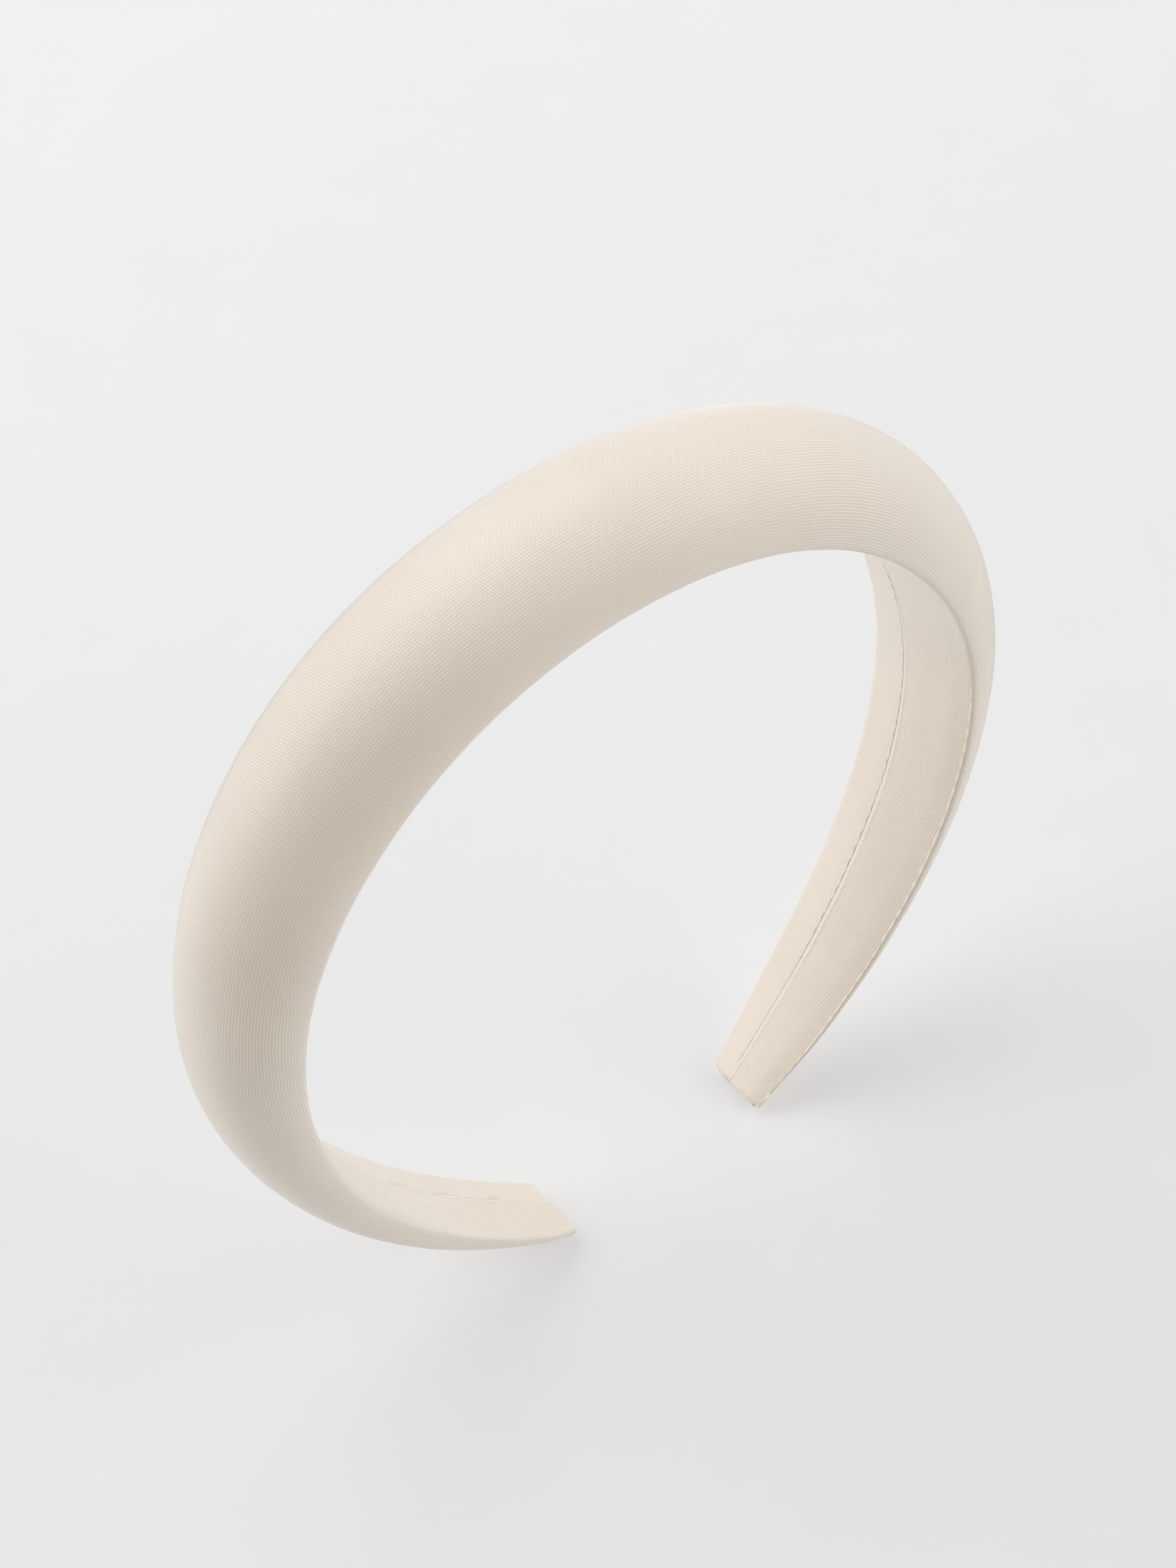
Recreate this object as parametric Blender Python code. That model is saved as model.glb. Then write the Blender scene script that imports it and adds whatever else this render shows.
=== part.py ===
"""A padded satin headband, free of decoration: a springy core, a foam pad and a hand-closed satin cover.

The band lies in the XZ plane. X runs across the head, Y along the band's width towards its back edge,
and Z up, with Z = 0 at the surface that the two tips stand on. The left and the right half meet at the
crown, and the right half turns about the crown's top line, which stands for the bending of the core.

Places along the band are given as (along, across, out): along the inner face from the crown, across the
width from the middle, and outwards from the inner face. All these are in millimetres.
"""

import math

import bmesh
import bpy
import numpy as np

MM = 0.001

# Driving dimensions. Each tuple is read at equal steps from the crown to a tip.
HALF_ARC = 190.0
BEND_RADII = (63.3, 59.8, 70.5, 103.0, 234.0)
HALF_WIDTHS = (13.8, 13.4, 11.6, 9.8, 6.9)
DEPTHS = (11.4, 12.2, 10.4, 6.9, 4.5)
DOME_POWERS = (2.0, 2.0, 2.1, 2.2, 2.6)

GAP = 0.3
STATION_STEP = 6.3
HALF_CUT = GAP / 2

SATIN = 0.45
COVER_END = 188.2
SEAM_SHARE = 0.28
FLAP_LAP = 3.0
HEM_RISE = 1.2
DOME_POINTS = 19

CORE_SHARE = 0.7
CORE_THICK = 1.2
CORE_BEVEL = 0.35
CORE_END = 187.6
CORE_STEP_FROM = 160.0
CORE_STEP_TO = 172.0

TAPE_THICK = 0.2
TAPE_SHARE = 0.9
TAPE_END = 170.0

PAD_END = 172.0
PAD_POINTS = 15

THREAD_RADIUS = 0.15
THREAD_END = 186.5

TAB_THICK = 0.3
TAB_START = 175.0
TAB_HALF_WIDTH = 3.7
TAB_FOLD = 1.5
TAB_FOLD_POWER = 6.0
TAB_FOLD_INSET = 0.25
REST_CUT = 0.6

SATIN_IVORY = (0.83, 0.76, 0.68, 1.0)
CORE_WHITE = (0.86, 0.86, 0.84, 1.0)
FOAM_CREAM = (0.90, 0.87, 0.78, 1.0)
TAPE_AMBER = (0.80, 0.74, 0.58, 1.0)
THREAD_IVORY = (0.78, 0.70, 0.60, 1.0)


def profile(values, along):
    """The value at a place along the band, on a smooth curve that is level at the crown."""
    last = len(values) - 1
    slopes = [0.0] + [(values[i + 1] - values[i - 1]) / 2 for i in range(1, last)]
    slopes.append(values[last] - values[last - 1])
    place = min(max(along / HALF_ARC, 0.0), 1.0) * last
    i = min(int(place), last - 1)
    t = place - i
    start = (1 + 2 * t) * (1 - t) ** 2 * values[i] + t * (1 - t) ** 2 * slopes[i]
    end = t * t * (3 - 2 * t) * values[i + 1] + t * t * (t - 1) * slopes[i + 1]
    return start + end


def trace_inner_face(steps=1900):
    """Rows of along, x, z and heading for the inner face, from the crown at (0, 0) to the right tip."""
    curvatures = [1.0 / radius for radius in BEND_RADII]
    step = HALF_ARC / steps
    x, z, heading = 0.0, 0.0, 0.0
    rows = [(0.0, x, z, heading)]
    for i in range(steps):
        turn = profile(curvatures, (i + 0.5) * step) * step
        x += math.cos(heading - turn / 2) * step
        z += math.sin(heading - turn / 2) * step
        heading -= turn
        rows.append(((i + 1) * step, x, z, heading))
    return np.array(rows)


INNER_FACE = trace_inner_face()


def band_point(along, across, out):
    """The place in the band, in millimetres, with the crown's inner face at the origin."""
    x, z, heading = (np.interp(along, INNER_FACE[:, 0], INNER_FACE[:, k]) for k in (1, 2, 3))
    return (x - math.sin(heading) * out, across, z + math.cos(heading) * out)


def smooth_step(value, low, high):
    t = min(max((value - low) / (high - low), 0.0), 1.0)
    return t * t * (3 - 2 * t)


def stations(end, start=HALF_CUT):
    count = math.ceil((end - start) / STATION_STEP)
    return [start + (end - start) * i / count for i in range(count + 1)]


def dome(along, inset, base, count, power=None):
    """(across, out) points over the dome from its back foot to its front foot, inset from the outer
    surface and ending at height base, at equal steps."""
    half = profile(HALF_WIDTHS, along)
    depth = profile(DEPTHS, along)
    power = power or profile(DOME_POWERS, along)
    angle = np.linspace(0.0, math.pi, 721)
    across = half * np.sign(np.cos(angle)) * np.abs(np.cos(angle)) ** (2 / power)
    out = depth * np.abs(np.sin(angle)) ** (2 / power)
    slope_across, slope_out = np.gradient(across), np.gradient(out)
    length = np.hypot(slope_across, slope_out)
    inner_across = across - inset * slope_out / length
    inner_out = out + inset * slope_across / length
    crest = np.argmax(inner_out)
    back_foot = np.interp(base, inner_out[:crest], inner_across[:crest])
    above = inner_out > base
    across = np.concatenate([[back_foot], inner_across[above], [-back_foot]])
    out = np.concatenate([[base], inner_out[above], [base]])
    travel = np.concatenate([[0.0], np.cumsum(np.hypot(np.diff(across), np.diff(out)))])
    places = np.linspace(0.0, travel[-1], count)
    return list(zip(np.interp(places, travel, across), np.interp(places, travel, out)))


def seam_across(along):
    return SEAM_SHARE * profile(HALF_WIDTHS, along)


def core_floor(along):
    """The core's inner face. It steps outwards near the tip, where the end tab's inner leg lies under it."""
    return SATIN + GAP + (TAB_THICK + GAP) * smooth_step(along, CORE_STEP_FROM, CORE_STEP_TO)


def core_roof(along):
    return core_floor(along) + CORE_THICK


def core_half_width(along):
    return CORE_SHARE * profile(HALF_WIDTHS, along)


def cover_section(along):
    """The satin as one strip: its back flap, the dome, and the front flap whose hem laps the back flap."""
    hem_edge = seam_across(along)
    back_edge = hem_edge - FLAP_LAP
    rise_end = back_edge - GAP
    rise_start = rise_end - HEM_RISE
    hem_top = -GAP - SATIN
    outer = dome(along, 0.0, 0.0, DOME_POINTS)
    inner = dome(along, SATIN, SATIN, DOME_POINTS)
    front_flap_face = [(rise_start, 0.0), (rise_end, hem_top), (hem_edge, hem_top)]
    front_flap_back = [(hem_edge, -GAP), (rise_end, -GAP), (rise_start - 0.2, SATIN)]
    return [(back_edge, 0.0)] + outer + front_flap_face + front_flap_back + inner[::-1] + [(back_edge, SATIN)]


def core_section(along):
    half, floor, roof = core_half_width(along), core_floor(along), core_roof(along)
    right_side = [
        (half - CORE_BEVEL, floor),
        (half, floor + CORE_BEVEL),
        (half, roof - CORE_BEVEL),
        (half - CORE_BEVEL, roof),
    ]
    return right_side + [(-across, out) for across, out in reversed(right_side)]


def tape_section(along):
    half = TAPE_SHARE * core_half_width(along)
    floor = core_roof(along) + GAP
    return [(half, floor), (half, floor + TAPE_THICK), (-half, floor + TAPE_THICK), (-half, floor)]


def pad_section(along):
    """A dome with a channel in its underside that the core and the tape lie in."""
    wall = core_half_width(along) + GAP
    roof = core_roof(along) + GAP + TAPE_THICK + GAP
    foot = SATIN + GAP
    return dome(along, SATIN + GAP, foot, PAD_POINTS) + [(-wall, foot), (-wall, roof), (wall, roof), (wall, foot)]


def thread_section(along):
    across = seam_across(along) + GAP + THREAD_RADIUS
    out = -GAP - THREAD_RADIUS
    angles = [math.tau * i / 6 for i in range(6)]
    return [(across + THREAD_RADIUS * math.cos(a), out - THREAD_RADIUS * math.sin(a)) for a in angles]


def fold_section(along):
    """The end tab's fold, which closes the cover's mouth: a flatter dome a little inside the cover."""
    foot = TAB_FOLD_INSET
    return dome(along, TAB_FOLD_INSET, foot, PAD_POINTS, TAB_FOLD_POWER)


def tab_legs_outline():
    """(along, out) round the U that the end tab makes over the core's tip."""
    start, end = TAB_START, COVER_END + GAP + TAB_FOLD / 2
    runs = [start + (end - start) * i / 3 for i in range(4)]
    inner_floor = SATIN + GAP
    inner_roof = inner_floor + TAB_THICK
    outer_floor = core_roof(end) + GAP
    outer_roof = outer_floor + TAB_THICK
    inside = [min(run, CORE_END + GAP) for run in runs]
    return (
        [(run, inner_floor) for run in runs]
        + [(run, outer_roof) for run in reversed(runs)]
        + [(run, outer_floor) for run in inside]
        + [(run, inner_roof) for run in reversed(inside)]
    )


def add_loop_skin(bm, loops):
    """Faces between successive closed loops of points, with a cap on the first and on the last."""
    rings = [[bm.verts.new(point) for point in loop] for loop in loops]
    count = len(rings[0])
    for ring, following in zip(rings, rings[1:]):
        for i in range(count):
            j = (i + 1) % count
            bm.faces.new((ring[i], ring[j], following[j], following[i]))
    bm.faces.new(reversed(rings[0]))
    bm.faces.new(rings[-1])
    bmesh.ops.recalc_face_normals(bm, faces=bm.faces)


def placed(point, side):
    """A band point in metres, from the hinge line, on the right (side 1) or the left (side -1) half."""
    x, y, z = point
    return (side * x * MM, y * MM, (z - CROWN_TOP) * MM)


def swept(section, places, side):
    bm = bmesh.new()
    loops = [[placed(band_point(s, across, out), side) for across, out in section(s)] for s in places]
    add_loop_skin(bm, loops)
    return bm


def extruded(outline, half_width, side):
    bm = bmesh.new()
    loops = [
        [placed(band_point(along, across, out), side) for along, out in outline]
        for across in (-half_width, half_width)
    ]
    add_loop_skin(bm, loops)
    return bm


CROWN_TOP = profile(DEPTHS, 0.0)


def fold_corner_height():
    """The height of the fold's lower outer edge, which the rest face is cut above."""
    roof = profile(DEPTHS, HALF_ARC) - TAB_FOLD_INSET
    return band_point(HALF_ARC, 0.0, roof)[2]


REST_HEIGHT = fold_corner_height() + REST_CUT
HINGE_HEIGHT = CROWN_TOP - REST_HEIGHT


def satin(name, color):
    material = bpy.data.materials.new(name)
    material.use_nodes = True
    shader = material.node_tree.nodes["Principled BSDF"]
    shader.inputs["Base Color"].default_value = color
    shader.inputs["Roughness"].default_value = 0.42
    shader.inputs["Sheen Weight"].default_value = 0.3
    return material


def plain(name, color, roughness):
    material = bpy.data.materials.new(name)
    material.use_nodes = True
    shader = material.node_tree.nodes["Principled BSDF"]
    shader.inputs["Base Color"].default_value = color
    shader.inputs["Roughness"].default_value = roughness
    return material


def add_object(name, bm, material, half, smooth_angle):
    """An object on the hinge line, under its half's empty."""
    mesh = bpy.data.meshes.new(name)
    bm.to_mesh(mesh)
    bm.free()
    mesh.materials.append(material)
    mesh.shade_smooth()
    mesh.set_sharp_from_angle(angle=math.radians(smooth_angle))
    obj = bpy.data.objects.new(name, mesh)
    bpy.context.scene.collection.objects.link(obj)
    obj.parent = half
    return obj


def add_half_empty(name):
    empty = bpy.data.objects.new(name, None)
    empty.location = (0.0, 0.0, HINGE_HEIGHT * MM)
    bpy.context.scene.collection.objects.link(empty)
    return empty


def add_end_tab(name, material, half, side):
    """A satin tab folded round the core's tip. The band stands on the flat of its fold."""
    legs = add_object(name + "_legs", extruded(tab_legs_outline(), TAB_HALF_WIDTH, side), material, half, 30)
    legs.hide_render = True
    legs.display_type = "WIRE"
    fold_places = [COVER_END + GAP, COVER_END + GAP + TAB_FOLD]
    bm = swept(fold_section, fold_places, side)
    bmesh.ops.bisect_plane(
        bm,
        geom=bm.verts[:] + bm.edges[:] + bm.faces[:],
        plane_co=(0.0, 0.0, -HINGE_HEIGHT * MM),
        plane_no=(0.0, 0.0, -1.0),
        clear_outer=True,
    )
    bmesh.ops.contextual_create(bm, geom=[edge for edge in bm.edges if edge.is_boundary])
    bmesh.ops.recalc_face_normals(bm, faces=bm.faces)
    fold = add_object(name, bm, material, half, 30)
    union = fold.modifiers.new("legs", "BOOLEAN")
    union.operation = "UNION"
    union.solver = "EXACT"
    union.object = legs
    return fold


def build_half(label, side, materials):
    half = add_half_empty(label + "_half")
    parts = (
        ("cover_", cover_section, COVER_END, "satin", 40),
        ("pad_", pad_section, PAD_END, "foam", 50),
        ("tape_", tape_section, TAPE_END, "tape", 30),
        ("core_", core_section, CORE_END, "core", 30),
        ("seam_thread_", thread_section, THREAD_END, "thread", 80),
    )
    for prefix, section, end, material, smooth_angle in parts:
        bm = swept(section, stations(end), side)
        add_object(prefix + label, bm, materials[material], half, smooth_angle)
    add_end_tab("end_tab_" + label, materials["satin"], half, side)


def main():
    for obj in list(bpy.data.objects):
        bpy.data.objects.remove(obj)
    materials = {
        "satin": satin("satin_ivory", SATIN_IVORY),
        "foam": plain("foam_cream", FOAM_CREAM, 0.9),
        "tape": plain("tape_amber", TAPE_AMBER, 0.35),
        "core": plain("core_white", CORE_WHITE, 0.4),
        "thread": plain("thread_ivory", THREAD_IVORY, 0.6),
    }
    build_half("left", -1, materials)
    build_half("right", 1, materials)


main()
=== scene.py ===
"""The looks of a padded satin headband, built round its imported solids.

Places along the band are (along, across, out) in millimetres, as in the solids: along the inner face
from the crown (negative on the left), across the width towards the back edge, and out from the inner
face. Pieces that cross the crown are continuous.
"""

import math

import bmesh
import bpy
import numpy as np
from mathutils import Matrix, Vector, noise


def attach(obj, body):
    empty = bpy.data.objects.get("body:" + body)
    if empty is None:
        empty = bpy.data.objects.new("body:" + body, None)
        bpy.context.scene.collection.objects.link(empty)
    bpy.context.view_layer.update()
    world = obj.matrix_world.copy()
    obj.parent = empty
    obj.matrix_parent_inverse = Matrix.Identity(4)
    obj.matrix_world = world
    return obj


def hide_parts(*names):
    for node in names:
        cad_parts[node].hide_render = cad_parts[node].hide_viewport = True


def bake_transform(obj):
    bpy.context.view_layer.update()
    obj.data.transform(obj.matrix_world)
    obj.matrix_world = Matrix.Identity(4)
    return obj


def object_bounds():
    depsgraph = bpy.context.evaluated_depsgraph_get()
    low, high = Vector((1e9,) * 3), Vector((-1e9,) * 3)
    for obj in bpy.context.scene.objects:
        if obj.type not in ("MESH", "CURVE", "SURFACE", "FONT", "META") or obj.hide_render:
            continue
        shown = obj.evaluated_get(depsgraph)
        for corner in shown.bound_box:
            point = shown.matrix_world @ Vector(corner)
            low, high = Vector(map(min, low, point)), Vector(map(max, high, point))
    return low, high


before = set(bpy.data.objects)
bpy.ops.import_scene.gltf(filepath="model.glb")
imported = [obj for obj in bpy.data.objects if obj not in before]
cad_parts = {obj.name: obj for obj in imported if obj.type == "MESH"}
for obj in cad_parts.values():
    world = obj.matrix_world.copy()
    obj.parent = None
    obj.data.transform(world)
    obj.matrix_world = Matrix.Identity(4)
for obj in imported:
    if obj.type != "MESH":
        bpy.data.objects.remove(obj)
cad_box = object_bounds()

MM = 0.001

# The band's driving dimensions, in millimetres, as in its solids. Each tuple is read at equal steps from
# the crown to a tip.
HALF_ARC = 190.0
BEND_RADII = (63.3, 59.8, 70.5, 103.0, 234.0)
HALF_WIDTHS = (13.8, 13.4, 11.6, 9.8, 6.9)
DEPTHS = (11.4, 12.2, 10.4, 6.9, 4.5)
SATIN = 0.45
GAP = 0.3
SEAM_SHARE = 0.28
HEM_OVERLAP = 3.0
CORE_SHARE = 0.7
CORE_THICK = 1.2
TAPE_THICK = 0.2
TAPE_SHARE = 0.9
TAPE_END = 170.0
PAD_END = 172.0

# The dome's roundness, and the core inside thinner tips. These differ a little from the solids.
DOME_POWERS = (2.0, 2.0, 2.1, 2.1, 1.9)
CORE_BEVEL = 0.3
CORE_END = 186.8
CORE_FLOOR = SATIN + 0.12
TAPE_GAP = 0.1

# How the soft band differs from its even solids. The arms lean a little, each in its own way, and the tips
# thin out and narrow towards their ends.
LEFT_LEANS = (0.0, 0.0, 0.0, -0.1, -0.5)
RIGHT_LEANS = (0.0, 0.0, 0.0, 0.25, 0.25)
RIGHT_FRONT_SPREAD = 0.06
FULLNESS = 0.8
TIP_THINNING = 0.22
SATIN_END = 190.35
FOLD_START = 187.0
FOLD_END = 190.7
FOLD_INSET = 0.14
FOLD_CURL = 0.8
BACK_TAPER = 0.16
FRONT_TAPER = 0.12
LEFT_FRONT_TAPER = 0.14
RIGHT_SKEW = 0.05
LEFT_NOTCH = 0.2
RIGHT_NOTCH = 0.3
FRONT_ROLL = 0.85
FRONT_FALL = 0.6
SEAM_RIDGE = 1.2

# The cover's mesh. The corner points are the ends of the outer face, its two edges and its crest.
OUTER_POINTS = 160
CORNER_POINTS = (0, 32, 76, 120, 159)
INNER_POINTS = 32
DOME_SAMPLES = 600
TIP_HALF_WIDTH = 7.5
EDGE_ROUND = 1.15
TIP_EDGE_ROUND = 0.95
TURN_IN_REACH = 0.9
TURN_IN_DEPTH = 0.55
ROW_STEP = 0.72
TIP_ROW_STEP = 0.5
TIP_ZONE = 30.0

# The other meshes.
PAD_POINTS = 56
FOLD_POINTS = 72
FOLD_ROWS = 12

# The hand-closed seam.
STITCH_STEP = 2.9
FLAP_RISE = 0.36
LIP_RISE = 0.08
LIP_WIDTH = 1.1
THREAD_END = 186.3
THREAD_ROWS = 1100
THREAD_SIDES = 6
THREAD_RADIUS = 0.085

# Where the stitches pucker the left tip's seam, and how far each pucker reaches.
PUCKERS = ((-153.6, 3.0), (-165.4, 2.2), (-177.2, 1.9))

# The weave, in metres: floats this long, in rows this far apart, each row half a float on from the last.
WEAVE_PITCH = 0.00037
WEAVE_ROW = 0.00046
WEAVE_SLANT = 0.17

# How much of the satin's colour ramp the weave's painted highlight and shade and the slow clouding of the
# yarn each take up, and where on the ramp they start.
WEAVE_PAINTED_SHADE = 0.26
CLOUD_CONTRAST = 0.22
BASE_TONE = 0.61

# Soft boxes: name, azimuth and elevation round the band, distance in metres, and power.
LIGHT_SIZE = 2.2
LIGHT_COLOR = (0.975, 1.0, 1.06)
AMBIENT = 0.25
AMBIENT_COLOR = (1.0, 0.88, 0.72, 1.0)
BACKDROP_COLOR = (0.82, 0.82, 0.82, 1.0)
LIGHTS = (
    ("front_right_box", 45.0, 30.0, 2.6, 29.0),
    ("right_box", 90.0, 30.0, 2.6, 9.9),
    ("back_left_box", 234.0, 30.0, 2.6, 28.6),
    ("top_back_box", 180.0, 60.0, 2.0, 20.6),
)

# The camera: azimuth, elevation and roll in degrees, and its distance from its target, in metres. The
# target is a little to the left of the middle, and this far below the crown's inner face.
CAMERA_ANGLES = (-30.245, 49.591, -8.165)
CAMERA_DISTANCE = 0.5509
CAMERA_LENS = 86.19
TARGET_SIDE = -0.001156
TARGET_DROP = 0.04666

# The height of the inner face at the crown, in millimetres.
CROWN_INNER = cad_box[1].z / MM - DEPTHS[0]


def profile(values, along):
    """The values along the band, on a smooth curve that is level at the crown."""
    last = len(values) - 1
    values = np.array(values, float)
    slopes = np.zeros(last + 1)
    slopes[1:last] = (values[2:] - values[:-2]) / 2
    slopes[last] = values[last] - values[last - 1]
    place = np.clip(np.abs(along) / HALF_ARC, 0.0, 1.0) * last
    i = np.minimum(place.astype(int), last - 1)
    t = place - i
    start = (1 + 2 * t) * (1 - t) ** 2 * values[i] + t * (1 - t) ** 2 * slopes[i]
    end = t * t * (3 - 2 * t) * values[i + 1] + t * t * (t - 1) * slopes[i + 1]
    return start + end


def smooth_step(value, low, high):
    t = np.clip((value - low) / (high - low), 0.0, 1.0)
    return t * t * (3 - 2 * t)


def trace_inner_face(steps=1900):
    """Columns of along, x, z and heading of the inner face, from the crown at (0, 0) past the right tip."""
    step = (HALF_ARC + 2.0) / steps
    turns = profile(1.0 / np.array(BEND_RADII), (np.arange(steps) + 0.5) * step) * step
    heading = -np.concatenate([[0.0], np.cumsum(turns)])
    middle = (heading[1:] + heading[:-1]) / 2
    x = np.concatenate([[0.0], np.cumsum(np.cos(middle) * step)])
    z = np.concatenate([[0.0], np.cumsum(np.sin(middle) * step)])
    return np.arange(steps + 1) * step, x, z, heading


INNER_FACE = trace_inner_face()


def band_points(along, across, out):
    """Places in the frame, in metres, for arrays of (along, across, out)."""
    along, across, out = np.broadcast_arrays(along, across, out)
    half = profile(HALF_WIDTHS, along)
    notch = np.exp(-(((across - SEAM_SHARE * half) / 1.7) ** 2)) * (1.0 - smooth_step(out, 0.4, 1.6))
    end = smooth_step(np.abs(along), 184.0, SATIN_END)
    skew = np.where(along < 0.0, 0.0, RIGHT_SKEW * across / half)
    depth = np.where(along < 0.0, LEFT_NOTCH, RIGHT_NOTCH) * notch + skew
    away = np.abs(along) - depth * end
    taper = np.where(across > 0.0, BACK_TAPER, FRONT_TAPER)
    spread = np.where(across > 0.0, 0.0, RIGHT_FRONT_SPREAD) * smooth_step(along, 40.0, 110.0)
    across = across * (1.0 + spread) * (1.0 - taper * smooth_step(along, 173.0, 191.0))
    front = smooth_step(-across / half, 0.2, 1.0)
    across = across * (1.0 - LEFT_FRONT_TAPER * front * smooth_step(-along, 182.0, 190.0))
    x, z, heading = (np.interp(away, INNER_FACE[0], column) for column in INNER_FACE[1:])
    side = np.sign(along)
    x = side * (x - np.sin(heading) * out)
    z = z + np.cos(heading) * out + CROWN_INNER
    across = across + np.where(along < 0.0, profile(LEFT_LEANS, along), profile(RIGHT_LEANS, along))
    return np.stack([x, across, z], axis=-1) * MM


def wander(along, size, seed):
    """A smooth seeded wander between -1 and 1 along the band."""
    return np.array([noise.noise(Vector((a / size, seed, 0.37))) for a in np.atleast_1d(along)])


def resample(across, out, places):
    """Points at the given shares of a polyline's length."""
    travel = np.concatenate([[0.0], np.cumsum(np.hypot(np.diff(across), np.diff(out)))])
    return np.interp(places * travel[-1], travel, across), np.interp(places * travel[-1], travel, out)


def anchored(across, out):
    """Points shared out between a section's corners, so that each follows its own line along the band."""
    travel = np.concatenate([[0.0], np.cumsum(np.hypot(np.diff(across), np.diff(out)))])
    travel /= travel[-1]
    corners = travel[[0, np.argmax(across), np.argmax(out), np.argmin(across), len(across) - 1]]
    places = np.interp(np.arange(OUTER_POINTS), CORNER_POINTS, corners)
    return resample(across, out, places)


def rounded(across, out, radius, count=900):
    """The polyline with its corners rounded, and its two ends kept."""
    across, out = resample(across, out, np.linspace(0.0, 1.0, count))
    length = np.hypot(np.diff(across), np.diff(out)).sum()
    sigma = 0.55 * radius / length * count
    reach = int(3 * sigma) + 1
    kernel = np.exp(-0.5 * (np.arange(-reach, reach + 1) / sigma) ** 2)
    kernel /= kernel.sum()

    def soften(line):
        before = 2 * line[0] - line[reach:0:-1]
        after = 2 * line[-1] - line[-2 : -reach - 2 : -1]
        return np.convolve(np.concatenate([before, line, after]), kernel, "valid")

    return soften(across), soften(out)


def fullness(along):
    """How much fuller the padding is than its even solid, which is most just left of the crown."""
    top = 1.0 - smooth_step(abs(along), 60.0, 130.0)
    left_of_crown = math.exp(-(((along + 25.0) / 35.0) ** 2))
    return FULLNESS * (top + left_of_crown)


def dome(along, inset, base, count):
    """(across, out) over the dome from its back foot to its front foot, inset from the outer surface."""
    half = profile(HALF_WIDTHS, along)
    thinning = 1.0 - TIP_THINNING * smooth_step(abs(along), 160.0, 190.0)
    depth = (profile(DEPTHS, along) + fullness(along)) * thinning
    power = profile(DOME_POWERS, along)
    angle = np.linspace(0.0, math.pi, 721)
    across = half * np.sign(np.cos(angle)) * np.abs(np.cos(angle)) ** (2 / power)
    out = depth * np.abs(np.sin(angle)) ** (2 / power)
    slope_across, slope_out = np.gradient(across), np.gradient(out)
    length = np.hypot(slope_across, slope_out)
    inner_across = across - inset * slope_out / length
    inner_out = out + inset * slope_across / length
    crest = np.argmax(inner_out)
    back_foot = np.interp(base, inner_out[:crest], inner_across[:crest])
    above = inner_out > base
    across = np.concatenate([[back_foot], inner_across[above], [-back_foot]])
    out = np.concatenate([[base], inner_out[above], [base]])
    return resample(across, out, np.linspace(0.0, 1.0, count))


def hem_line(along):
    """Where the hem's edge lies across the band, with the small wander of hand sewing."""
    edge = SEAM_SHARE * profile(HALF_WIDTHS, along)
    edge = edge - 0.35 * seam_ridge(along) * smooth_step(along, 20.0, 80.0)
    calm = 1.0 - 0.75 * smooth_step(abs(along), 150.0, 178.0)
    return edge + calm * (0.16 * wander(along, 9.0, 1.7)[0] + 0.03 * wander(along, 2.6, 5.1)[0])


def stitch_pull(along):
    """1 at a stitch and 0 half-way to the next, with uneven spacing. The stitches are slacker at the tips."""
    phase = along / STITCH_STEP + 0.22 * wander(along, 7.0, 9.3)[0]
    calm = 1.0 - 0.8 * smooth_step(abs(along), 150.0, 178.0)
    return calm * (0.5 + 0.5 * math.cos(math.tau * phase)) ** 2


def front_roll(along):
    """How far the front edge stands inwards of the inner face, as it does at the crown and on the left."""
    fading = 1.0 - 0.5 * smooth_step(-along, 150.0, 180.0)
    return FRONT_ROLL * (1.0 - smooth_step(along, 55.0, 95.0)) * fading


def front_fall(along):
    """How far the front edge stands outwards of the inner face, as it does on the right arm."""
    return FRONT_FALL * smooth_step(along, 70.0, 110.0)


def seam_ridge(along):
    """How far the gathered satin under the seam lifts the inner face, least on the left tip."""
    left = 0.8 * smooth_step(-along, 110.0, 150.0)
    return (SEAM_RIDGE - 0.5 * smooth_step(abs(along), 150.0, 185.0)) * (1.0 - left)


def inner_face_height(across, along):
    """The height of the satin's inner face, highest along the seam and a little proud along the edges."""
    half = profile(HALF_WIDTHS, along)
    seam = SEAM_SHARE * half
    back = np.clip((across - seam) / (half - seam), 0.0, 1.0)
    front = np.clip((seam - across) / (half + seam), 0.0, 1.0)
    ridge = seam_ridge(along) * (1.0 - back**1.4 - front**1.4)
    reach = 0.3 * half
    front_edge = front_roll(along) * (1.0 - smooth_step(across + half, 0.15 * reach, reach))
    back_edge = 0.15 * (1.0 - smooth_step(half - across, 0.15 * reach, reach))
    fall = front_fall(along) * (1.0 - smooth_step(across + half, 0.0, 0.5 * half)) ** 1.5
    return fall - ridge - front_edge - back_edge - crease_relief(along, across / half)


def crease_relief(along, share):
    """Two faint creases across the left arm's inner face, where it bends into the tip."""
    first = np.exp(-(((along + 139.0 + 2.5 * share**2) / 1.0) ** 2))
    second = np.exp(-(((along + 146.0 + 2.0 * share) / 0.9) ** 2))
    inside = 1.0 - smooth_step(np.abs(share), 0.75, 1.0)
    return (0.16 * first + 0.12 * second) * inside


def pucker(along):
    """How hard the stitches pull the satin in at the left tip's three puckers."""
    total = 0.0
    for place, reach in PUCKERS:
        total += max(0.0, 1.0 - ((along - place) / reach) ** 2)
    return total


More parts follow.
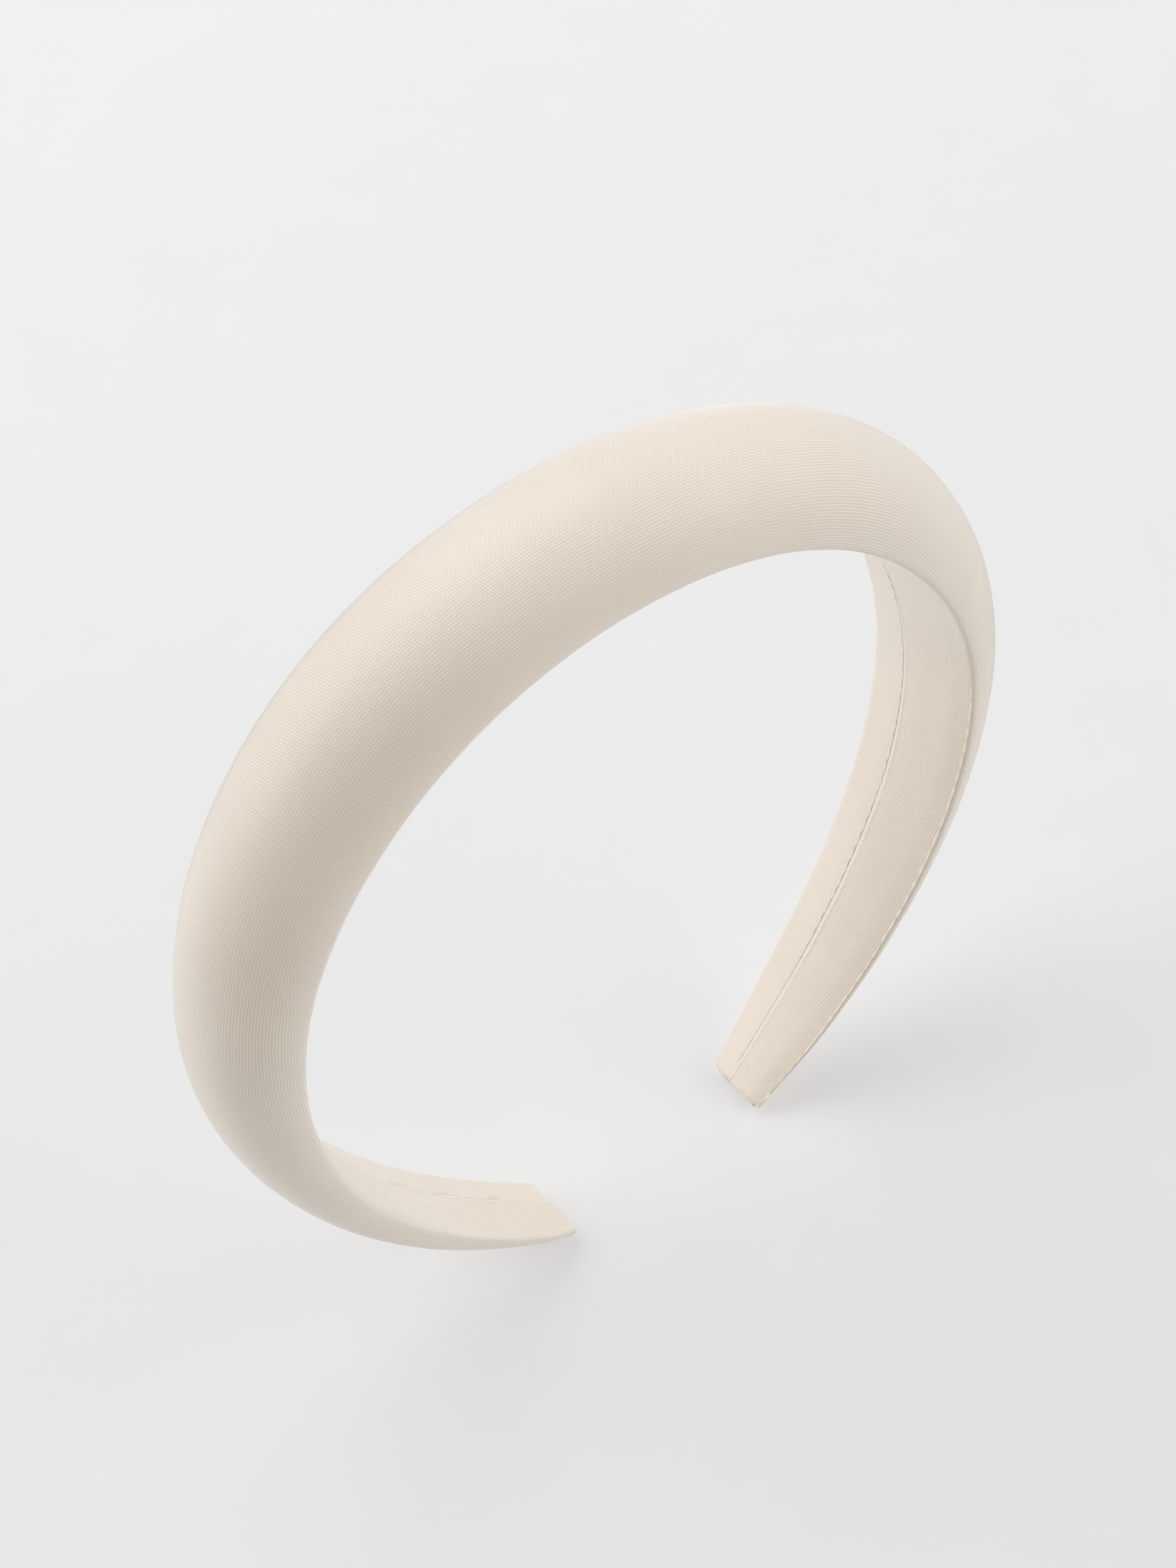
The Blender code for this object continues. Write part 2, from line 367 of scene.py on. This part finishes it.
def cover_row(along):
    """One closed section of the cover: back flap, dome, front flap, hem, and its lining face.

    Returns (across, out) arrays and the run round the section from the crest, for the weave.
    """
    half = profile(HALF_WIDTHS, along)
    hem = hem_line(along)
    pull = stitch_pull(along)
    tug = pucker(along)
    last = min(1.0, max(0.0, (abs(along) - SATIN_END + TURN_IN_REACH) / TURN_IN_REACH))
    turn_in = 1.0 - math.sqrt(1.0 - last**2)

    back_run = np.linspace(hem - HEM_OVERLAP, half, 40)
    dome_across, dome_out = dome(along, 0.0, 0.0, DOME_SAMPLES)
    kept = (dome_across > 0.0) | (dome_out >= front_fall(along))
    dome_across, dome_out = dome_across[kept], dome_out[kept]
    flap_end = hem - LIP_WIDTH
    front_run = np.linspace(-half, flap_end, 60)
    rise = FLAP_RISE * smooth_step(front_run, hem - 9.0, hem - 2.0)
    front_out = inner_face_height(front_run, along) - rise
    back_out = inner_face_height(back_run, along)
    across = np.concatenate([back_run, dome_across, front_run])
    out = np.concatenate([back_out, dome_out, front_out])
    across, out = rounded(across, out, EDGE_ROUND if half > TIP_HALF_WIDTH else TIP_EDGE_ROUND)
    across, out = anchored(across, out)
    dent = 0.75 * tug * np.exp(-(((across - hem - 0.2) / 0.55) ** 2))
    out = out + np.where(np.arange(OUTER_POINTS) < OUTER_POINTS // 4, dent, 0.0)

    base = out[-1]
    foot = float(inner_face_height(np.array([hem]), along)[0]) + TURN_IN_DEPTH * turn_in
    top = base - LIP_RISE * (1.0 - 0.5 * pull) + 0.5 * turn_in
    fall = foot - top
    edge = hem - 0.07 * pull
    lip_across = [flap_end + 0.12, flap_end + 0.24]
    lip_across += [edge - 0.76, edge - 0.5, edge - 0.22, edge, edge - 0.12]
    lip_out = [top + 0.02, top]
    lip_out += [top + 0.08 * fall, top + 0.33 * fall, top + 0.68 * fall, foot - 0.05, foot - 0.02]
    under_across = [hem - 1.6, hem - 3.1, hem - 4.6]
    under_out = [foot - 0.03, foot - 0.03, SATIN]

    travel = np.concatenate([[0.0], np.cumsum(np.hypot(np.diff(across), np.diff(out)))])
    over = slice(OUTER_POINTS // 4, 3 * OUTER_POINTS // 4)
    run = travel - np.interp(0.0, -across[over], travel[over])

    slope_across, slope_out = np.gradient(across), np.gradient(out)
    length = np.hypot(slope_out, slope_across)
    normal_across, normal_out = -slope_out / length, slope_across / length
    ripple = soft_ripple(along, run)
    shift = ripple - TURN_IN_DEPTH * turn_in
    across = across - normal_across * shift
    out = out - normal_out * shift

    inner_across, inner_out = dome(along, SATIN, SATIN, INNER_POINTS)
    across = np.concatenate([across, lip_across, under_across, inner_across[::-1], [hem - HEM_OVERLAP]])
    out = np.concatenate([out, lip_out, under_out, inner_out[::-1], [SATIN]])
    tail = run[-1] + np.cumsum(np.full(len(across) - len(run), 0.25))
    return across, out, np.concatenate([run, tail])


def soft_ripple(along, run):
    """The slight unevenness of padded satin, in millimetres."""
    return np.array([
        0.07 * noise.noise(Vector((along / 17.0, r / 11.0, 3.1)))
        + 0.03 * noise.noise(Vector((along / 6.0, r / 5.0, 8.4)))
        for r in run
    ])


def cover_stations():
    """The places along the band of the cover's sections, closest where the mouth turns in."""
    half = np.concatenate([
        np.arange(0.0, SATIN_END - TIP_ZONE, ROW_STEP),
        np.linspace(SATIN_END - TIP_ZONE, SATIN_END - 1.0, int(TIP_ZONE / TIP_ROW_STEP) + 1)[:-1],
        SATIN_END - TURN_IN_REACH + TURN_IN_REACH * np.sin(np.linspace(0.0, math.pi / 2, 7)),
    ])
    return np.concatenate([-half[:0:-1], half])


def grid_mesh(name, rows, weave=None, along=None):
    """A mesh through rows of points, closed round each row, with flat ends.

    weave and along are the weave map's two directions: the run round each row, and each row's place.
    """
    count, width = rows.shape[:2]
    flat = rows.reshape(-1, 3)
    faces = []
    for i in range(count - 1):
        for j in range(width):
            k = (j + 1) % width
            faces.append((i * width + j, (i + 1) * width + j, (i + 1) * width + k, i * width + k))
    faces.append(tuple(range(width)))
    faces.append(tuple(reversed(range((count - 1) * width, count * width))))
    mesh = bpy.data.meshes.new(name)
    mesh.from_pydata(flat.tolist(), [], faces)
    obj = bpy.data.objects.new(name, mesh)
    bpy.context.scene.collection.objects.link(obj)
    bm = bmesh.new()
    bm.from_mesh(mesh)
    bmesh.ops.recalc_face_normals(bm, faces=bm.faces)
    if weave is not None:
        bm.verts.index_update()
        layer = bm.loops.layers.uv.new("weave")
        step = float(np.median(np.abs(np.diff(weave[count // 2]))))
        for face in bm.faces:
            indices = [loop.vert.index for loop in face.loops]
            columns = [index % width for index in indices]
            wraps = len(columns) == 4 and max(columns) - min(columns) > 2
            for loop, index, column in zip(face.loops, indices, columns):
                i = index // width
                v = weave[i, column] if not (wraps and column == 0) else weave[i, -1] + step
                loop[layer].uv = (along[i] * MM, v * MM)
    bm.to_mesh(mesh)
    bm.free()
    mesh.shade_smooth()
    return obj


def bend_with_halves(obj, along):
    """Lays the piece out straight by its place along the band, since the tips curl back under the crown,
    bakes its placement into its mesh, and puts its shape back.
    """
    shape = np.array([vertex.co for vertex in obj.data.vertices], np.float32)
    straight = shape.copy()
    straight[:, 0] = along * MM
    obj.data.vertices.foreach_set("co", straight.ravel())
    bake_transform(obj)
    obj.data.vertices.foreach_set("co", shape.ravel())
    obj.data.update()


def build_cover():
    along = cover_stations()
    rows, weave = [], []
    for a in along:
        across, out, run = cover_row(a)
        points = band_points(a, across, out)
        points[:, 2] = np.maximum(points[:, 2], 0.0)
        rows.append(points)
        weave.append(run)
    rows, weave = np.array(rows), np.array(weave)
    cover = grid_mesh("satin_cover", rows, weave=weave, along=along)
    cover.data.set_sharp_from_angle(angle=math.radians(75))
    bend_with_halves(cover, np.repeat(along, rows.shape[1]))
    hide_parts("cover_left", "cover_right")
    return cover


def swept_piece(name, section, end, step):
    """A piece with the given section, from end to end of the band's two arms."""
    along = np.linspace(-end, end, int(2 * end / step) + 1)
    rows = np.array([band_points(a, *section(a)) for a in along])
    piece = grid_mesh(name, rows)
    bend_with_halves(piece, np.repeat(along, rows.shape[1]))
    return piece


def core_thick(along):
    """The core thins out inside the tips."""
    return CORE_THICK * (1.0 - 0.4 * smooth_step(abs(along), 165.0, 186.0))


def core_half(along):
    return profile(HALF_WIDTHS, along) * (CORE_SHARE - 0.18 * smooth_step(abs(along), 165.0, 186.0))


def core_section(along):
    half = core_half(along)
    floor = CORE_FLOOR
    roof = floor + core_thick(along)
    bevel = CORE_BEVEL
    across = [half - bevel, half - 0.3 * bevel, half, half, half - 0.3 * bevel, half - bevel]
    out = [floor, floor + 0.3 * bevel, floor + bevel, roof - bevel, roof - 0.3 * bevel, roof]
    return np.array(across + [-a for a in reversed(across)]), np.array(out + list(reversed(out)))


def tape_section(along):
    half = TAPE_SHARE * core_half(along)
    floor = CORE_FLOOR + core_thick(along) + TAPE_GAP
    roof = floor + TAPE_THICK
    return np.array([half, half, -half, -half]), np.array([floor, roof, roof, floor])


def pad_section(along):
    wall = core_half(along) + GAP
    roof = CORE_FLOOR + core_thick(along) + TAPE_THICK + 2 * TAPE_GAP
    foot = SATIN + GAP
    across, out = dome(along, SATIN + GAP, foot, PAD_POINTS)
    pits = np.array([0.05 * noise.noise(Vector((along / 1.7, j * 0.9, 2.2))) for j in range(PAD_POINTS)])
    return (
        np.concatenate([across, [-wall, -wall, wall, wall]]),
        np.concatenate([out - np.abs(pits), [foot, roof, roof, foot]]),
    )


def build_inside():
    pad = swept_piece("foam_pad", pad_section, PAD_END, 1.6)
    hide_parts("pad_left", "pad_right")
    tape = swept_piece("pad_tape", tape_section, TAPE_END, 2.0)
    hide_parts("tape_left", "tape_right")
    core = swept_piece("spring_core", core_section, CORE_END, 2.0)
    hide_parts("core_left", "core_right")
    for obj in (pad, tape, core):
        obj.data.set_sharp_from_angle(angle=math.radians(40))
    return pad, tape, core


def thread_row(along):
    """A ring of the seam thread. It dips into the crease between stitches and comes up at each one."""
    pull = stitch_pull(along)
    across = hem_line(along) + 0.12 + 0.16 * pull
    out = float(inner_face_height(np.array([across]), along)[0]) - 0.03 * pull + 0.45 * pucker(along)
    angle = np.arange(THREAD_SIDES) * math.tau / THREAD_SIDES
    return across + THREAD_RADIUS * np.cos(angle), out - THREAD_RADIUS * np.sin(angle)


def build_thread():
    along = np.linspace(-THREAD_END, THREAD_END, THREAD_ROWS)
    rows = np.array([band_points(a, *thread_row(a)) for a in along])
    thread = grid_mesh("slip_stitch_thread", rows)
    bend_with_halves(thread, np.repeat(along, rows.shape[1]))
    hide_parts("seam_thread_left", "seam_thread_right")
    return thread


def fold_section(along, inset):
    """A rounded section that fits just inside the mouth of the cover."""
    across, out = dome(along, inset, inset, 40)
    face = np.linspace(across[-1], across[0], 24)[1:-1]
    face_out = np.array([inner_face_height(a, along) for a in face]) + inset
    across = np.concatenate([across, face])
    out = np.concatenate([out, face_out])
    across, out = rounded(np.roll(across, 20), np.roll(out, 20), 0.5, 400)
    return resample(across, out, np.linspace(0.0, 1.0, FOLD_POINTS + 1))


def build_fold(label, side):
    """The folded end of the satin, which closes the tip and rests on the surface."""
    rows, weave, along = [], [], []
    for t in np.linspace(0.0, 1.0, FOLD_ROWS):
        a = FOLD_START + (FOLD_END - FOLD_START) * math.sin(t * math.pi / 2)
        inset = FOLD_INSET + FOLD_CURL * (1.0 - math.cos(t * math.pi / 2))
        across, out = fold_section(side * a, inset)
        across, out = across[:-1], out[:-1]
        points = band_points(side * a, across, out)
        points[:, 2] = np.maximum(points[:, 2], 0.0)
        rows.append(points)
        travel = np.concatenate([[0.0], np.cumsum(np.hypot(np.diff(across), np.diff(out)))])
        weave.append(travel)
        along.append(a)
    fold = grid_mesh("end_fold_" + label, np.array(rows), weave=np.array(weave), along=np.array(along))
    fold.data.set_sharp_from_angle(angle=math.radians(60))
    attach(fold, label + "_half")
    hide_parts("end_tab_" + label)
    return fold


def node(tree, kind, x, y):
    made = tree.nodes.new(kind)
    made.location = (x, y)
    return made


def new_material(name):
    material = bpy.data.materials.new(name)
    material.use_nodes = True
    tree = material.node_tree
    shader = tree.nodes["Principled BSDF"]
    return material, tree, shader


def math_node(tree, operation, first, second, x, y):
    """A maths node's output. Its terms are numbers or other nodes' outputs."""
    made = tree.nodes.new("ShaderNodeMath")
    made.operation = operation
    made.location = (x, y)
    for index, value in enumerate((first, second)):
        if value is None:
            continue
        if isinstance(value, (int, float)):
            made.inputs[index].default_value = value
        else:
            tree.links.new(value, made.inputs[index])
    return made.outputs[0]


def satin_material(name):
    """Ivory satin: a fine regular weave, painted into the colour as highlight on the floats and shade between
    them, a soft lustre, and slight unevenness of the yarn.
    """
    material, tree, shader = new_material(name)
    link = tree.links.new
    uv = node(tree, "ShaderNodeUVMap", -1600, 0)
    uv.uv_map = "weave"
    split = node(tree, "ShaderNodeSeparateXYZ", -1400, 0)
    link(uv.outputs[0], split.inputs[0])
    place = node(tree, "ShaderNodeTexCoord", -1600, -400)

    drift = node(tree, "ShaderNodeTexNoise", -1400, -400)
    drift.inputs["Scale"].default_value = 420.0
    drift.inputs["Detail"].default_value = 2.0
    link(place.outputs["Object"], drift.inputs["Vector"])

    shift = math_node(tree, "MULTIPLY", drift.outputs["Fac"], 1.6, -1200, -200)
    slant = math_node(tree, "MULTIPLY", split.outputs["Y"], WEAVE_SLANT, -1400, 250)
    warp = math_node(tree, "ADD", split.outputs["X"], slant, -1200, 250)
    warp = math_node(tree, "MULTIPLY", warp, math.tau / WEAVE_PITCH, -1000, 250)
    weft = math_node(tree, "MULTIPLY", split.outputs["Y"], math.pi / WEAVE_ROW, -1200, -50)
    warp = math_node(tree, "ADD", warp, shift, -900, 100)
    weft = math_node(tree, "ADD", weft, shift, -1000, -50)
    warp = math_node(tree, "COSINE", warp, None, -800, 100)
    rows = math_node(tree, "MULTIPLY", weft, 2.0, -900, -200)
    rows = math_node(tree, "COSINE", rows, None, -800, -200)
    weft = math_node(tree, "COSINE", weft, None, -800, -50)
    cells = math_node(tree, "MULTIPLY", warp, weft, -600, 50)
    ribs = math_node(tree, "MULTIPLY", rows, 0.6, -600, -120)
    height = math_node(tree, "ADD", cells, ribs, -450, 0)

    tone = node(tree, "ShaderNodeTexNoise", -900, -500)
    tone.inputs["Scale"].default_value = 38.0
    tone.inputs["Detail"].default_value = 3.0
    link(place.outputs["Object"], tone.inputs["Vector"])

    # The weave in the colour is painted highlight on the floats and painted shade in the gaps between them.
    mixed = math_node(tree, "MULTIPLY", height, WEAVE_PAINTED_SHADE, -300, -100)
    cloud = math_node(tree, "MULTIPLY", tone.outputs["Fac"], CLOUD_CONTRAST, -300, -250)
    mixed = math_node(tree, "ADD", mixed, cloud, -150, -100)
    mixed = math_node(tree, "ADD", mixed, BASE_TONE, -80, -100)
    ramp = node(tree, "ShaderNodeValToRGB", 0, -100)
    ramp.color_ramp.elements[0].position = 0.0
    ramp.color_ramp.elements[0].color = (0.50, 0.423, 0.340, 1.0)
    ramp.color_ramp.elements[1].position = 1.0
    ramp.color_ramp.elements[1].color = (1.0, 0.915, 0.800, 1.0)
    link(mixed, ramp.inputs["Fac"])
    link(ramp.outputs["Color"], shader.inputs["Base Color"])

    gloss = node(tree, "ShaderNodeMapRange", 0, -400)
    gloss.inputs["From Min"].default_value = -1.6
    gloss.inputs["From Max"].default_value = 1.6
    gloss.inputs["To Min"].default_value = 0.62
    gloss.inputs["To Max"].default_value = 0.46
    link(height, gloss.inputs["Value"])
    link(gloss.outputs["Result"], shader.inputs["Roughness"])

    bump = node(tree, "ShaderNodeBump", 0, -700)
    bump.inputs["Strength"].default_value = 0.5
    bump.inputs["Distance"].default_value = 0.00002
    link(height, bump.inputs["Height"])
    link(bump.outputs["Normal"], shader.inputs["Normal"])

    shader.inputs["Specular IOR Level"].default_value = 0.6
    shader.inputs["Sheen Weight"].default_value = 0.9
    shader.inputs["Sheen Roughness"].default_value = 0.42
    shader.inputs["Sheen Tint"].default_value = (1.0, 0.98, 0.96, 1.0)
    return material


def grain_material(name, dark, light, roughness, scale, bump_distance, sheen=0.0):
    """A plain surface with a fine grain in its colour, gloss and relief."""
    material, tree, shader = new_material(name)
    link = tree.links.new
    place = node(tree, "ShaderNodeTexCoord", -900, 0)
    grain = node(tree, "ShaderNodeTexNoise", -700, 0)
    grain.inputs["Scale"].default_value = scale
    grain.inputs["Detail"].default_value = 4.0
    link(place.outputs["Object"], grain.inputs["Vector"])
    ramp = node(tree, "ShaderNodeValToRGB", -400, 100)
    ramp.color_ramp.elements[0].position = 0.3
    ramp.color_ramp.elements[0].color = (*dark, 1.0)
    ramp.color_ramp.elements[1].position = 0.7
    ramp.color_ramp.elements[1].color = (*light, 1.0)
    link(grain.outputs["Fac"], ramp.inputs["Fac"])
    link(ramp.outputs["Color"], shader.inputs["Base Color"])
    gloss = node(tree, "ShaderNodeMapRange", -400, -200)
    gloss.inputs["To Min"].default_value = roughness - 0.06
    gloss.inputs["To Max"].default_value = roughness + 0.06
    link(grain.outputs["Fac"], gloss.inputs["Value"])
    link(gloss.outputs["Result"], shader.inputs["Roughness"])
    bump = node(tree, "ShaderNodeBump", -400, -500)
    bump.inputs["Strength"].default_value = 0.6
    bump.inputs["Distance"].default_value = bump_distance
    link(grain.outputs["Fac"], bump.inputs["Height"])
    link(bump.outputs["Normal"], shader.inputs["Normal"])
    if sheen:
        shader.inputs["Sheen Weight"].default_value = sheen
    return material


def assign(obj, material):
    obj.data.materials.clear()
    obj.data.materials.append(material)


def floor_material():
    """Pale paper that glows with painted light, which keeps the shadows on it faint; the glow falls off
    towards the front as painted shade.
    """
    material = grain_material("floor_paper", (0.41, 0.41, 0.41), (0.42, 0.42, 0.42), 0.8, 60.0, 0.00001)
    tree = material.node_tree
    shader = tree.nodes["Principled BSDF"]
    place = node(tree, "ShaderNodeTexCoord", -900, -800)
    split = node(tree, "ShaderNodeSeparateXYZ", -700, -800)
    tree.links.new(place.outputs["Object"], split.inputs[0])
    # Painted light: the floor's glow, strongest at the back and weaker towards the front.
    painted_floor_glow = node(tree, "ShaderNodeMapRange", -400, -800)
    painted_floor_glow.inputs["From Min"].default_value = -0.25
    painted_floor_glow.inputs["From Max"].default_value = 0.35
    painted_floor_glow.inputs["To Min"].default_value = 0.35
    painted_floor_glow.inputs["To Max"].default_value = 0.435
    tree.links.new(split.outputs["Y"], painted_floor_glow.inputs["Value"])
    tree.links.new(painted_floor_glow.outputs["Result"], shader.inputs["Emission Strength"])
    shader.inputs["Emission Color"].default_value = (1.0, 1.0, 1.0, 1.0)
    return material


def build_floor():
    """The wide flat floor, which isn't part of the object."""
    mesh = bpy.data.meshes.new("studio_floor")
    bm = bmesh.new()
    bmesh.ops.create_grid(bm, x_segments=1, y_segments=1, size=6.0)
    bm.to_mesh(mesh)
    bm.free()
    floor = bpy.data.objects.new("studio_floor", mesh)
    bpy.context.scene.collection.objects.link(floor)
    assign(floor, floor_material())
    return floor


def area_light(name, place, target, power):
    data = bpy.data.lights.new(name, "AREA")
    data.shape = "DISK"
    data.size = LIGHT_SIZE
    data.energy = power
    data.color = LIGHT_COLOR
    light = bpy.data.objects.new(name, data)
    light.location = place
    direction = Vector(target) - Vector(place)
    light.rotation_euler = direction.to_track_quat("-Z", "Y").to_euler()
    bpy.context.scene.collection.objects.link(light)


def build_lights():
    world = bpy.data.worlds.new("studio")
    world.use_nodes = True
    background = world.node_tree.nodes["Background"]
    background.inputs["Color"].default_value = AMBIENT_COLOR
    background.inputs["Strength"].default_value = AMBIENT
    backdrop = world.node_tree.nodes.new("ShaderNodeBackground")
    backdrop.inputs["Color"].default_value = BACKDROP_COLOR
    path = world.node_tree.nodes.new("ShaderNodeLightPath")
    mix = world.node_tree.nodes.new("ShaderNodeMixShader")
    link = world.node_tree.links.new
    link(path.outputs["Is Camera Ray"], mix.inputs["Fac"])
    link(background.outputs[0], mix.inputs[1])
    link(backdrop.outputs[0], mix.inputs[2])
    link(mix.outputs[0], world.node_tree.nodes["World Output"].inputs["Surface"])
    bpy.context.scene.world = world
    middle = (0.0, 0.0, 0.08)
    for name, azimuth, elevation, distance, power in LIGHTS:
        a, e = math.radians(azimuth), math.radians(elevation)
        away = Vector((math.sin(a) * math.cos(e), -math.cos(a) * math.cos(e), math.sin(e)))
        area_light(name, Vector(middle) + away * distance, middle, power)
    bpy.context.scene.view_settings.view_transform = "Standard"


def build_camera():
    azimuth, elevation, roll = (math.radians(a) for a in CAMERA_ANGLES)
    target = Vector((TARGET_SIDE, 0.0, CROWN_INNER * MM - TARGET_DROP))
    back = Vector((
        math.sin(azimuth) * math.cos(elevation),
        -math.cos(azimuth) * math.cos(elevation),
        math.sin(elevation),
    ))
    right = Vector((math.cos(azimuth), math.sin(azimuth), 0.0))
    up = back.cross(right)
    rolled_right = math.cos(roll) * right + math.sin(roll) * up
    rolled_up = -math.sin(roll) * right + math.cos(roll) * up
    data = bpy.data.cameras.new("camera")
    data.lens = CAMERA_LENS
    data.sensor_width = 36.0
    data.clip_start = 0.01
    camera = bpy.data.objects.new("camera", data)
    turn = Matrix((rolled_right, rolled_up, back)).transposed()
    camera.matrix_world = Matrix.Translation(target + back * CAMERA_DISTANCE) @ turn.to_4x4()
    bpy.context.scene.collection.objects.link(camera)
    bpy.context.scene.camera = camera


satin = satin_material("satin_weave")
cover = build_cover()
assign(cover, satin)
pad, tape, core = build_inside()
assign(pad, grain_material("foam", (0.83, 0.79, 0.68), (0.92, 0.89, 0.80), 0.9, 900.0, 0.0002))
assign(tape, grain_material("adhesive_tape", (0.74, 0.66, 0.48), (0.82, 0.76, 0.60), 0.35, 300.0, 0.00003))
assign(core, grain_material("core_plastic", (0.82, 0.82, 0.80), (0.87, 0.87, 0.85), 0.4, 250.0, 0.00002))
thread = build_thread()
assign(thread, grain_material(
    "thread_ivory", (0.80, 0.72, 0.62), (0.90, 0.83, 0.74), 0.6, 3000.0, 0.00003, sheen=0.2
))
for label, side in (("left", -1), ("right", 1)):
    assign(build_fold(label, side), satin)
build_floor()
build_lights()
build_camera()
